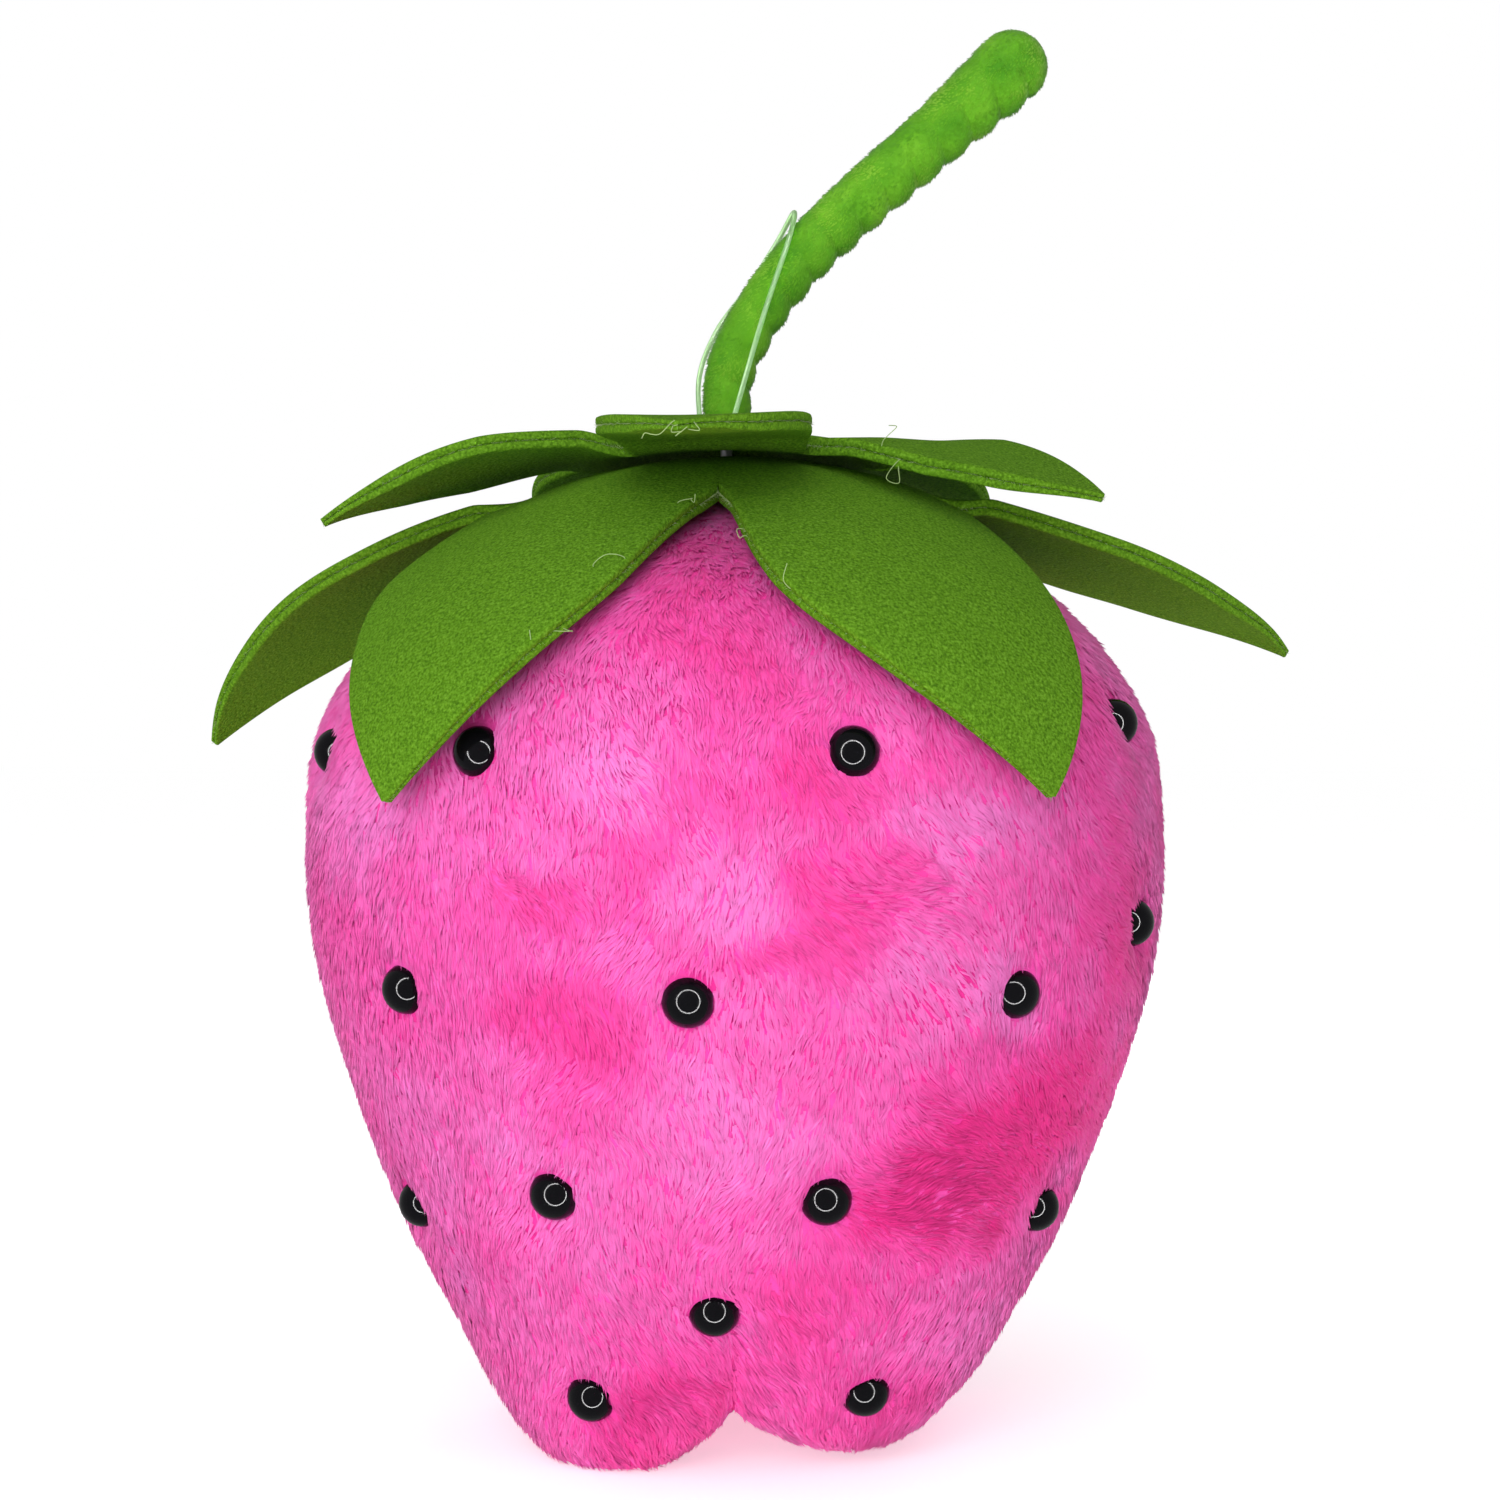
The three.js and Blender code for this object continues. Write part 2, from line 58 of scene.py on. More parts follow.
# Camera: level with the middle of the object, square to its front.
CAMERA_DISTANCE = 0.33
CAMERA_CENTRE = Vector((0.00175, 0, 0.0792))
FIELD_WIDTH = 0.17535
SENSOR_WIDTH = 36
# Light: the ring round the lens shows in the beads, and a soft front light does its work.
RING_LIGHT_RADIUS = 0.28
RING_LIGHT_TUBE = 0.007
RING_LIGHT_FORWARD = 0.05
RING_LIGHT_STRENGTH = 120
FRONT_LIGHT_PLACE = Vector((-0.12, -0.55, 0.2))
SOFT_LIGHT_SIZE = 0.4
FRONT_LIGHT_POWER = 1.9
BACK_LIGHT_PLACE = Vector((0.3, 0.6, 0.3))
BACK_LIGHT_POWER = 0.8
TOP_LIGHT_STRENGTH = 0.6
SURROUND_STRENGTH = 0.4
BACKDROP_WHITE = 1.0
FLOOR_GLOW = 0.46

# Cushion: the meridian through the middle of a gore, from the foot to the neck (radius, height).
MERIDIAN = [
    (0.6, 6.5), (6, 3.4), (12, 0), (18, -2.2), (24, -1.4), (29.6, 4.5), (34.5, 15.5), (39.7, 27.5),
    (45.3, 42), (49, 56), (50, 68.5), (48.1, 82), (40, 94.5), (30, 101.5), (18, 106.3), (8, 108.2),
]
SEAM_LIFT = 10.8
SHORT_LOBE_LIFT = 4
LOBE_HEIGHT = 15
LOBE_START = 12
GORES = ["front_right", "back_right", "back_left", "front_left"]
GORE_COLUMNS = 112
CUSHION_ROWS = 240
PLUSH_THICKNESS = 2.4
PILE_DEPTH = 0.75
BEAD_COUNT = 32
BEAD_RADIUS = 2.75
BEAD_HOLE_RADIUS = 0.6
BEAD_SIDES = 28
DIMPLE_DEPTH = 1.5
DIMPLE_RADIUS = 3.8

# Stuffing: the coarse cloth that the filling swells, and how far it may move.
STUFFING_COLUMNS = 26
STUFFING_ROWS = 56
STUFFING_FRAMES = 20
STUFFING_CAP = 1.3
STUFFED_FROM = 0.985
STITCH_REACH = 3.2

# Pile: how many tufts each gore has, one tuft's size, and how many painted shades of light and dark the
# pile's colour comes in.
TUFTS_PER_GORE = 47000
TUFT_LENGTH = 1.8
TUFT_WIDTH = 0.24
PILE_SHADES = 7

# Where the pile lies another way on the front, with painted shade (lightness below 0) and painted sheen
# (lightness above 0) on its colour: x, height, half width, half height, lightness.
NAP_PATCHES_WITH_PAINTED_SHADE = [
    (-19, 65, 7, 3.5, -0.9), (-17, 53, 7, 4.5, -0.8), (12, 66, 8, 5, -1.0), (7, 59, 8, 3.5, -0.9),
    (9, 77, 6, 5, -0.7), (42, 60, 4, 12, -0.8), (33, 43, 12, 8, -1.0), (24, 35, 14, 8, -1.0),
    # The patch at height 94 on the next line is painted shade under the leaves.
    (20, 31, 10, 6, -0.9), (7, 21, 8, 6, -0.7), (-8, 5, 9, 6, -0.9), (-2, 94, 9, 8, -0.8),
    (0, 65, 6, 6, 0.9), (-13, 77, 6, 5, 0.6), (23, 72, 6, 5, 0.7), (24, 55, 9, 5, 0.6),
    (-25, 33, 12, 10, 0.5), (0, 40, 12, 8, 0.6), (-40, 73, 5, 8, 0.6), (26, 14, 7, 6, 0.5),
]

FUZZ_PER_LEAF = {"lower": 1400, "upper": 900}
LEAF_STATIONS = 130
LEAF_STRIPS = 44
STAR_POINTS = 5
HALF_POINT = math.pi / STAR_POINTS
STARS = {
    "lower": {
        "corner": 24.0, "half_width": 17.2,
        "dome": [(0, 113.5), (12, 112), (24, 108.2), (40, 99)],
    },
    "upper": {
        "corner": 15.0, "half_width": 11.6,
        "dome": [(0, 117.2), (2, 116.9), (4.5, 116.05), (9, 115.5), (15, 114.5), (30, 111)],
    },
}
WIDEST_AT = 0.42
# Each leaf: azimuth in degrees, tip (radius, height), two points that steer its curve, how
# closely it wraps round the cushion from side to side, how far its tip is swept sideways and its
# middle bows sideways, and how many degrees it rolls about its centreline.
LEAVES = {
    "lower_leaf_front_left": (-40, (55.5, 74), ((37, 104), (53, 93)), 0.95, 0, 0, 0),
    "lower_leaf_front_right": (32, (55, 74.5), ((37, 104), (53, 93)), 0.95, 4, -3, 0),
    "lower_leaf_left": (-112, (71.5, 80.5), ((40, 105), (60, 96)), 0.5, 0, 0, 0),
    "lower_leaf_right": (104, (70, 91.5), ((38, 105), (58, 99)), 0.3, 0, 0, 0),
    "lower_leaf_back": (176, (51.4, 80), ((37, 104), (49.5, 94)), 0.95, 2, 0, 0),
    "upper_leaf_front": (-7, (47, 112.4), ((26, 115.6), (36, 115)), 0, 0, 0, 0),
    "upper_leaf_left": (-79, (48, 105.5), ((26, 115), (38, 112)), 0, 0, 0, -6.5),
    "upper_leaf_right": (65, (45, 107.5), ((24, 115), (34, 112.5)), 0, 0, 0, -11),
    "upper_leaf_back_left": (-151, (46, 107), ((25, 115), (35, 113)), 0, 2, 0, 0),
    "upper_leaf_back_right": (137, (46, 108), ((25, 115), (35, 113)), 0, -1, 0, 0),
}
# A laminated edge's section: how far in from the cut, and how deep, for the two plies.
EDGE_SECTION = np.array([
    (0.30, 0.0), (0.08, 0.10), (0.0, 0.30), (0.0, 0.70), (0.12, 0.88), (0.45, 1.0),
    (0.12, 1.12), (0.0, 1.30), (0.0, 1.70), (0.08, 1.90), (0.30, 2.0),
])
# Long stray fibres: the leaf, the share of its length, its edge (1 right, -1 left) and its reach.
LINT_CURLS = [
    ("lower_leaf_front_left", 0.55, 1, 2.2), ("lower_leaf_front_left", 0.72, 1, 2.6),
    ("lower_leaf_front_left", 0.74, 1, 2.2), ("lower_leaf_front_right", 0.62, -1, 2.0),
    ("lower_leaf_front_right", 0.45, -1, 1.6), ("lower_leaf_front_left", 0.36, 1, 1.5),
    ("upper_leaf_front", 0.97, 1, 2.0), ("upper_leaf_front", 0.99, -1, 2.0),
    ("upper_leaf_front", 1, 1, 2.4), ("upper_leaf_right", 0.5, -1, 3.5),
    ("upper_leaf_right", 0.56, -1, 4.5),
]

# Stem: centreline in the plane y = 0 (x, z), and the cover's radius along it.
STEM_LINE = [
    (-1, 119.2), (-0.2, 124.6), (3.8, 131.8), (8.8, 137.8), (15.3, 144), (22, 149.8), (28, 155.2),
    (32.3, 159),
]
STEM_RADII = [(0, 2.7), (0.3, 3.0), (0.55, 3.3), (0.8, 3.5), (1, 4.2)]
STEM_SIDES = 48
STEM_WRAP_PITCH = 4.2
STEM_TUFTS = 14000

# Nylon thread: up the front of the stem, over its left edge and down behind it.
NYLON_RADIUS = 0.3
NYLON_ROUTE = [
    (-0.6, -4.4, 115.8), (3.2, -4.3, 129), (6.2, -3.1, 138.2), (6.9, -0.2, 142),
    (4.9, 2.9, 139), (1.4, 3.3, 133.6), (-2.2, 2, 128.4), (-4.2, -0.4, 122.5), (-3.9, -3.2, 115.8),
]


# ---- shared shape helpers ----

def spline(points, count):
    """count + 1 evenly spaced points along a smooth curve through the given points."""
    knots = np.array(points, float)
    knots = np.vstack([knots[:1], knots, knots[-1:]])
    t = np.linspace(0, 1, 40, endpoint=False)[:, None]
    pieces = []
    for a, b, c, d in zip(knots, knots[1:], knots[2:], knots[3:]):
        square = a - 2.5 * b + 2 * c - 0.5 * d
        cube = 1.5 * (b - c) + 0.5 * (d - a)
        pieces.append(b + t * (c - a) / 2 + t**2 * square + t**3 * cube)
    return evenly(np.vstack(pieces + [knots[-1:]]), count)


def evenly(line, count):
    """count + 1 evenly spaced points along a polyline."""
    steps = np.linalg.norm(np.diff(line, axis=0), axis=1)
    travelled = np.concatenate([[0], np.cumsum(steps)])
    wanted = np.linspace(0, travelled[-1], count + 1)
    return np.column_stack([np.interp(wanted, travelled, axis) for axis in line.T])


def bezier(a, b, c, d, count):
    t = np.linspace(0, 1, count + 1)[:, None]
    a, b, c, d = (np.array(p, float) for p in (a, b, c, d))
    return (1 - t)**3 * a + 3 * (1 - t)**2 * t * b + 3 * (1 - t) * t**2 * c + t**3 * d


def smoothstep(value):
    clipped = np.clip(value, 0, 1)
    return clipped * clipped * (3 - 2 * clipped)


def level_axes(azimuth):
    """The level directions away from the middle at an azimuth in radians, and across that."""
    out = np.array([math.sin(azimuth), -math.cos(azimuth), 0])
    return out, np.array([math.cos(azimuth), math.sin(azimuth), 0])


def unit(vectors):
    return vectors / np.maximum(np.linalg.norm(vectors, axis=-1, keepdims=True), 1e-12)


def noise_at(points, size, seed=0.0):
    """Smooth noise, about -1 to 1, at each point in millimetres, with features of a size."""
    flat = points.reshape(-1, 3) / size + seed
    values = np.fromiter((noise.noise(Vector(p)) for p in flat), float, len(flat))
    return values.reshape(points.shape[:-1])


def mesh_piece(name, points, faces, materials, shade_of_face=None):
    """A mesh object from points in millimetres and a list of face arrays (triangles or quads)."""
    mesh = bpy.data.meshes.new(name)
    mesh.vertices.add(len(points))
    mesh.vertices.foreach_set("co", (np.asarray(points) * MM).astype(np.float32).ravel())
    corners = np.concatenate([block.ravel() for block in faces])
    totals = np.concatenate([np.full(len(block), block.shape[1]) for block in faces])
    starts = np.concatenate([[0], np.cumsum(totals)[:-1]])
    mesh.loops.add(len(corners))
    mesh.loops.foreach_set("vertex_index", corners.astype(np.int32))
    mesh.polygons.add(len(totals))
    mesh.polygons.foreach_set("loop_start", starts.astype(np.int32))
    if shade_of_face is not None:
        mesh.polygons.foreach_set("material_index", shade_of_face.astype(np.int32))
    mesh.polygons.foreach_set("use_smooth", np.ones(len(totals), bool))
    mesh.update(calc_edges=True)
    piece = bpy.data.objects.new(name, mesh)
    bpy.context.collection.objects.link(piece)
    for material in materials:
        mesh.materials.append(material)
    return piece


def sharpen(piece, degrees):
    """Keeps the edges that turn more than an angle crisp under smooth shading."""
    piece.data.set_sharp_from_angle(angle=math.radians(degrees))


def lofted(rings):
    """Points and faces of a closed solid through closed rings, with a fan over each end."""
    count, sides = rings.shape[:2]
    points = np.vstack([rings.reshape(-1, 3), rings[0].mean(0), rings[-1].mean(0)])
    near = np.arange(sides)
    far = (near + 1) % sides
    base = (np.arange(count - 1) * sides)[:, None]
    quads = np.stack([base + near, base + far, base + far + sides, base + near + sides], -1)
    last = (count - 1) * sides
    first_cap = np.stack([far, near, np.full(sides, count * sides)], -1)
    last_cap = np.stack([last + near, last + far, np.full(sides, count * sides + 1)], -1)
    return points, [quads.reshape(-1, 4), np.vstack([first_cap, last_cap])]


def slab(front, back):
    """Points and faces of a closed solid between two grids of points of the same size."""
    rows, columns = front.shape[:2]
    index = np.arange(rows * columns).reshape(rows, columns)
    other = index + rows * columns
    corners = [index[:-1, :-1], index[:-1, 1:], index[1:, 1:], index[1:, :-1]]
    outer = np.stack(corners, -1).reshape(-1, 4)
    inner = outer[:, ::-1] + rows * columns
    rim = np.concatenate([index[0, :-1], index[:-1, -1], index[-1, :0:-1], index[:0:-1, 0]])
    rim_back = np.concatenate([other[0, :-1], other[:-1, -1], other[-1, :0:-1], other[:0:-1, 0]])
    wall = np.stack([np.roll(rim, -1), rim, rim_back, np.roll(rim_back, -1)], -1)
    points = np.vstack([front.reshape(-1, 3), back.reshape(-1, 3)])
    return points, [np.vstack([outer, inner, wall])]


def tufts(roots, heads, widths, sunk):
    """Closed three-sided spikes from each root to its head. Returns points and faces."""
    along = unit(heads - roots)
    helper = np.where(np.abs(along[:, 2:3]) < 0.9, [[0, 0, 1.0]], [[1.0, 0, 0]])
    side = unit(np.cross(along, helper))
    other = np.cross(along, side)
    feet = roots - along * sunk
    corners = [
        feet + widths[:, None] * (math.cos(turn) * side + math.sin(turn) * other)
        for turn in (0, 2 * math.pi / 3, 4 * math.pi / 3)
    ]
    points = np.stack(corners + [heads], 1).reshape(-1, 3)
    base = np.arange(len(roots))[:, None, None] * 4
    faces = base + np.array([[0, 1, 3], [1, 2, 3], [2, 0, 3], [2, 1, 0]])
    return points, faces.reshape(-1, 3)


def soften_normals(piece, ground, share):
    """Turns a tuft's normals towards the surface that it grows on, as light in a pile does."""
    mesh = piece.data
    own = np.empty(len(mesh.vertices) * 3, np.float32)
    mesh.vertices.foreach_get("normal", own)
    mixed = unit(own.reshape(-1, 3) * (1 - share) + ground * share)
    mesh.normals_split_custom_set_from_vertices(mixed.tolist())


# ---- materials ----

PINK_THREAD_TONES = ((0.5, 0.02, 0.2), (0.8, 0.06, 0.4))


def new_material(name):
    """A material with its nodes, its links and its shader."""
    material = bpy.data.materials.new(name)
    material.use_nodes = True
    nodes = material.node_tree.nodes
    return material, nodes, material.node_tree.links, nodes["Principled BSDF"]


def texture_space(nodes):
    coordinates = nodes.new("ShaderNodeTexCoord")
    return coordinates.outputs["Object"]


def noise_node(nodes, links, where, size_mm, detail=2.0):
    texture = nodes.new("ShaderNodeTexNoise")
    texture.inputs["Scale"].default_value = 1 / (size_mm * MM)
    texture.inputs["Detail"].default_value = detail
    links.new(where, texture.inputs["Vector"])
    return texture.outputs["Fac"]


def ramp_node(nodes, links, factor, stops):
    ramp = nodes.new("ShaderNodeValToRGB")
    elements = ramp.color_ramp.elements
    while len(elements) < len(stops):
        elements.new(0.5)
    for element, (place, colour) in zip(elements, stops):
        element.position = place
        element.color = (*colour, 1)
    links.new(factor, ramp.inputs["Fac"])
    return ramp.outputs["Color"]


def bump_node(nodes, links, height, strength, distance_mm):
    bump = nodes.new("ShaderNodeBump")
    bump.inputs["Strength"].default_value = strength
    bump.inputs["Distance"].default_value = distance_mm * MM
    links.new(height, bump.inputs["Height"])
    return bump.outputs["Normal"]


def plush_ground():
    """The cover's ground cloth, seen between the tufts."""
    material, nodes, links, shader = new_material("plush_ground")
    where = texture_space(nodes)
    patches = noise_node(nodes, links, where, 12, 3)
    stops = [(0.35, (0.80, 0.035, 0.30)), (0.65, (0.88, 0.09, 0.44))]
    links.new(ramp_node(nodes, links, patches, stops), shader.inputs["Base Color"])
    clumps = noise_node(nodes, links, where, 0.9, 3)
    links.new(bump_node(nodes, links, clumps, 0.6, 0.5), shader.inputs["Normal"])
    shader.inputs["Roughness"].default_value = 0.95
    shader.inputs["Specular IOR Level"].default_value = 0.1
    return material


def painted_pile_shade(share):
    """One painted shade of the pile's colour, from the painted shade of pile seen into to the painted
    sheen of pile seen along.
    """
    material, *_, shader = new_material(f"plush_pile_painted_shade_{round(share * 100):03d}")
    # Lit and shaded copies of one pink: painted shade at the dark end, painted sheen at the light end.
    dark = np.array([0.78, 0.03, 0.25])
    middle = np.array([0.86, 0.088, 0.405])
    light = np.array([0.85, 0.185, 0.555])
    below, above = (dark, middle) if share < 0.5 else (middle, light)
    colour = below + (above - below) * (2 * share % 1 if share < 1 else 1)
    shader.inputs["Base Color"].default_value = (*colour, 1)
    shader.inputs["Roughness"].default_value = 0.85
    shader.inputs["Specular IOR Level"].default_value = 0.08
    shader.inputs["Sheen Weight"].default_value = 0.2
    shader.inputs["Sheen Roughness"].default_value = 0.4
    shader.inputs["Sheen Tint"].default_value = (1, 0.6, 0.85, 1)
    return material


def felt_material():
    """Pressed green felt: a melange of fibres, paler where the surface is rubbed."""
    material, nodes, links, shader = new_material("green_felt")
    where = texture_space(nodes)
    fibres = noise_node(nodes, links, where, 0.3, 4)
    stops = [(0.32, (0.050, 0.132, 0.005)), (0.5, (0.090, 0.22, 0.009)), (0.7, (0.148, 0.325, 0.022))]
    links.new(ramp_node(nodes, links, fibres, stops), shader.inputs["Base Color"])
    pressed = noise_node(nodes, links, where, 0.5, 6)
    links.new(bump_node(nodes, links, pressed, 0.8, 0.4), shader.inputs["Normal"])
    shader.inputs["Roughness"].default_value = 0.95
    shader.inputs["Specular IOR Level"].default_value = 0.03
    return material


def plain_fibre(name, colour, sheen=0.2):
    material, *_, shader = new_material(name)
    shader.inputs["Base Color"].default_value = (*colour, 1)
    shader.inputs["Roughness"].default_value = 0.9
    shader.inputs["Specular IOR Level"].default_value = 0.08
    shader.inputs["Sheen Weight"].default_value = sheen
    return material


def bead_material():
    material, nodes, links, shader = new_material("black_bead")
    where = texture_space(nodes)
    smears = noise_node(nodes, links, where, 1.5, 3)
    stops = [(0.3, (0.06, 0.06, 0.06)), (0.8, (0.14, 0.14, 0.14))]
    links.new(ramp_node(nodes, links, smears, stops), shader.inputs["Roughness"])
    shader.inputs["Base Color"].default_value = (0.003, 0.003, 0.004, 1)
    shader.inputs["Specular IOR Level"].default_value = 0.13
    return material


def stem_ground():
    material, nodes, links, shader = new_material("stem_plush")
    where = texture_space(nodes)
    tone = noise_node(nodes, links, where, 5, 4)
    stops = [(0.3, (0.060, 0.25, 0.008)), (0.55, (0.115, 0.36, 0.013)), (0.75, (0.20, 0.48, 0.028))]
    links.new(ramp_node(nodes, links, tone, stops), shader.inputs["Base Color"])
    nap = noise_node(nodes, links, where, 0.7, 5)
    links.new(bump_node(nodes, links, nap, 0.5, 0.4), shader.inputs["Normal"])
    shader.inputs["Roughness"].default_value = 0.9
    shader.inputs["Specular IOR Level"].default_value = 0.08
    shader.inputs["Sheen Weight"].default_value = 0.02
    shader.inputs["Sheen Tint"].default_value = (0.85, 1, 0.6, 1)
    return material


def nylon_material():
    material, *_, shader = new_material("clear_nylon")
    shader.inputs["Base Color"].default_value = (0.50, 0.80, 0.38, 1)
    shader.inputs["Roughness"].default_value = 0.3
    shader.inputs["Transmission Weight"].default_value = 0.85
    shader.inputs["IOR"].default_value = 1.53
    return material


def inner_material(name, dark, light, size_mm, metallic=0.0, roughness=0.8):
    """A two-tone surface for a piece that the cover hides."""
    material, nodes, links, shader = new_material(name)
    where = texture_space(nodes)
    tone = noise_node(nodes, links, where, size_mm, 4)
    links.new(ramp_node(nodes, links, tone, [(0.3, dark), (0.7, light)]), shader.inputs["Base Color"])
    links.new(bump_node(nodes, links, tone, 0.3, size_mm / 4), shader.inputs["Normal"])
    shader.inputs["Metallic"].default_value = metallic
    shader.inputs["Roughness"].default_value = roughness
    return material


# ---- cushion ----

def cushion_grid(columns, rows):
    """The cushion's surface, round all its gores: an array of rows, columns and x, y, z."""
    azimuth = np.arange(columns) * 2 * math.pi / columns
    radius, height = spline(MERIDIAN, rows).T
    lobe = np.abs(np.sin(2 * azimuth))
    short = (np.sin(azimuth) > 0) & (np.cos(azimuth) > 0)
    lift = SEAM_LIFT * (1 - lobe**0.9) + SHORT_LOBE_LIFT * lobe * short
    fade = np.exp(-(height / LOBE_HEIGHT)**2) * (1 - np.exp(-radius / LOBE_START))
    z = np.maximum(0, height[:, None] + lift * fade[:, None])
    x = radius[:, None] * np.sin(azimuth)
    y = -radius[:, None] * np.cos(azimuth)
    return np.stack([x, y, z], -1)


def grid_normals(grid):
    across = np.roll(grid, -1, 1) - np.roll(grid, 1, 1)
    up = np.gradient(grid, axis=0)
    return unit(np.cross(across, up))


def bead_centres():
    boxes = [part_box(f"bead_{number:02d}") for number in range(1, BEAD_COUNT + 1)]
    return np.array([(low + high) / 2 for low, high in boxes]) / MM


def dimples(grid, centres):
    """How far each point is drawn in round the beads that are sewn down on it."""
    depth = np.zeros(grid.shape[:2])
    for centre in centres:
        distance = np.linalg.norm(grid - centre, axis=-1)
        depth += np.exp(-(distance / DIMPLE_RADIUS)**2)
    return depth * DIMPLE_DEPTH


def held_down(grid, centres):
    """How firmly each point of the cover is held: by a bead's stitches, at the neck, on the floor."""
    held = np.zeros(grid.shape[:2])
    for centre in centres:
        distance = np.linalg.norm(grid - centre, axis=-1)
        held = np.maximum(held, np.exp(-(distance / STITCH_REACH)**2))
    held[-3:] = 1
    held[:2] = 1
    return np.maximum(held, grid[..., 2] < 0.5)


def stuffed(grid, held):
    """A coarse grid of the cover, after its filling has pushed it out where nothing holds it."""
    rows, columns = grid.shape[:2]
    index = np.arange(rows * columns).reshape(rows, columns)
    beside = np.roll(index, -1, 1)
    quads = np.stack([index[:-1], beside[:-1], beside[1:], index[1:]], -1).reshape(-1, 4)
    caps = [index[:1, ::-1], index[-1:]]
    cover = mesh_piece("stuffing_run", grid.reshape(-1, 3) * STUFFED_FROM, [quads] + caps, [])
    pins = cover.vertex_groups.new(name="pins")
    for vertex, weight in enumerate(held.ravel()):
        pins.add([vertex], float(weight), "REPLACE")
    cloth = cover.modifiers.new("cloth", "CLOTH")
    cloth.settings.quality = 6
    cloth.settings.mass = 0.2
    cloth.settings.tension_stiffness = 12
    cloth.settings.compression_stiffness = 12
    cloth.settings.bending_stiffness = 0.6
    cloth.settings.vertex_group_mass = "pins"
    cloth.settings.use_pressure = True
    cloth.settings.uniform_pressure_force = 4
    cloth.settings.effector_weights.gravity = 0
    cloth.point_cache.frame_end = STUFFING_FRAMES
    scene = bpy.context.scene
    for step in range(1, STUFFING_FRAMES + 1):
        scene.frame_set(step)
    result = cover.evaluated_get(bpy.context.evaluated_depsgraph_get())
    places = np.empty(rows * columns * 3, np.float32)
    result.data.vertices.foreach_get("co", places)
    scene.frame_set(1)
    bpy.data.objects.remove(cover)
    return places.reshape(rows, columns, 3) / MM / STUFFED_FROM


def stuffing_bulge(centres):
    """How far the filling pushes the cover out, at each point of the full cushion grid."""
    grid = cushion_grid(4 * STUFFING_COLUMNS, STUFFING_ROWS)
    moved = stuffed(grid, held_down(grid, centres)) - grid
    outward = np.clip(np.sum(moved * grid_normals(grid), -1), -STUFFING_CAP, STUFFING_CAP)
    outward -= np.median(outward)
    rows = np.linspace(0, STUFFING_ROWS, CUSHION_ROWS + 1)
    columns = np.arange(4 * GORE_COLUMNS) * STUFFING_COLUMNS / GORE_COLUMNS
    wrapped = np.concatenate([outward, outward[:, :1]], 1)
    known = np.arange(wrapped.shape[1])
    across = np.array([np.interp(columns, known, row) for row in wrapped])
    return np.array([np.interp(rows, np.arange(STUFFING_ROWS + 1), column) for column in across.T]).T


def cover_surface(centres):
    """The outer face of the pile, with its dimples and the stuffing's soft lumps."""
    grid = cushion_grid(4 * GORE_COLUMNS, CUSHION_ROWS)
    normals = grid_normals(grid)
    clear = smoothstep(grid[..., 2] / 12)
    lumps = 0.7 * noise_at(grid, 26, 3.1) * clear
    bulge = stuffing_bulge(centres) * clear
    grid = grid + normals * (lumps + bulge - dimples(grid, centres))[..., None]
    return grid, grid_normals(grid)


def gore_slice(grid, number):
    columns = np.arange(number * GORE_COLUMNS, (number + 1) * GORE_COLUMNS + 1)
    return grid[:, columns % grid.shape[1]]


def gore_piece(name, grid, normals, material):
    """One plush panel: the ground cloth's surface under the pile, and its thickness."""
    clumps = 0.22 * noise_at(grid, 1.6, 7.7)
    front = grid - normals * (PILE_DEPTH - clumps)[..., None]
    back = grid - normals * PLUSH_THICKNESS
    points, faces = slab(front, back)
    piece = mesh_piece(f"plush_{name}", points, faces, [material])
    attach(piece, "cushion")
    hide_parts(f"gore_{name}")
    return piece


def turned_nap_and_painted_shade(points):
    """The front's patches of turned pile, with ragged outlines, and their painted shade below 0 and
    painted sheen above.
    """
    ragged = points + 4 * np.stack([noise_at(points, 7, seed) for seed in (2.2, 6.6, 8.8)], -1)
    # The painted shade and sheen go on the front only.
    front = smoothstep(-points[:, 1] / 15)
    value = np.zeros(len(points))
    for x, height, half_width, half_height, lightness in NAP_PATCHES_WITH_PAINTED_SHADE:
        offset = ((ragged[:, 0] - x) / half_width)**2 + ((ragged[:, 2] - height) / half_height)**2
        value += front * lightness * np.exp(-offset**2)
    return value


def painted_nap_shade(points, patches):
    """Painted shade and sheen: how light the pile's colour is made where it lies towards or away from
    the front, 0 to 1.
    """
    value = 0.45 * noise_at(points, 17, 1.3) + 0.3 * noise_at(points, 6, 5.2) + 0.75 * patches
    return np.clip(0.62 + 0.5 * value, 0, 1)


def nap_direction(points, normals, patches):
    """The way the pile lies: down the cushion in soft swirls, and across it in dark patches."""
    down = np.array([0, 0, -1.0]) - normals * (normals @ np.array([0, 0, -1.0]))[:, None]
    side = np.cross(normals, down)
    angle = 1.1 * noise_at(points, 19, 9.4) + 0.5 * noise_at(points, 5, 2.6) + np.maximum(0, -patches)
    return unit(down) * np.cos(angle)[:, None] + unit(side) * np.sin(angle)[:, None]


def scattered(grid, normals, count, rng):
    """Random points over a grid of quads, evenly by area, with their normals."""
    across = grid[:-1, 1:] - grid[:-1, :-1]
    up = grid[1:, :-1] - grid[:-1, :-1]
    area = np.linalg.norm(np.cross(across, up), axis=-1).ravel()
    chosen = rng.choice(len(area), count, p=area / area.sum())
    row, column = np.divmod(chosen, grid.shape[1] - 1)
    u, v = rng.random((2, count, 1))
    places, directions = (
        (values[row, column] * (1 - u) + values[row, column + 1] * u) * (1 - v)
        + (values[row + 1, column] * (1 - u) + values[row + 1, column + 1] * u) * v
        for values in (grid, normals)
    )
    return places, unit(directions)


def clear_of_beads(points, centres):
    """True for each point that no bead covers."""
    distance = np.min([np.linalg.norm(points - centre, axis=1) for centre in centres], axis=0)
    return distance > BEAD_RADIUS + 0.15


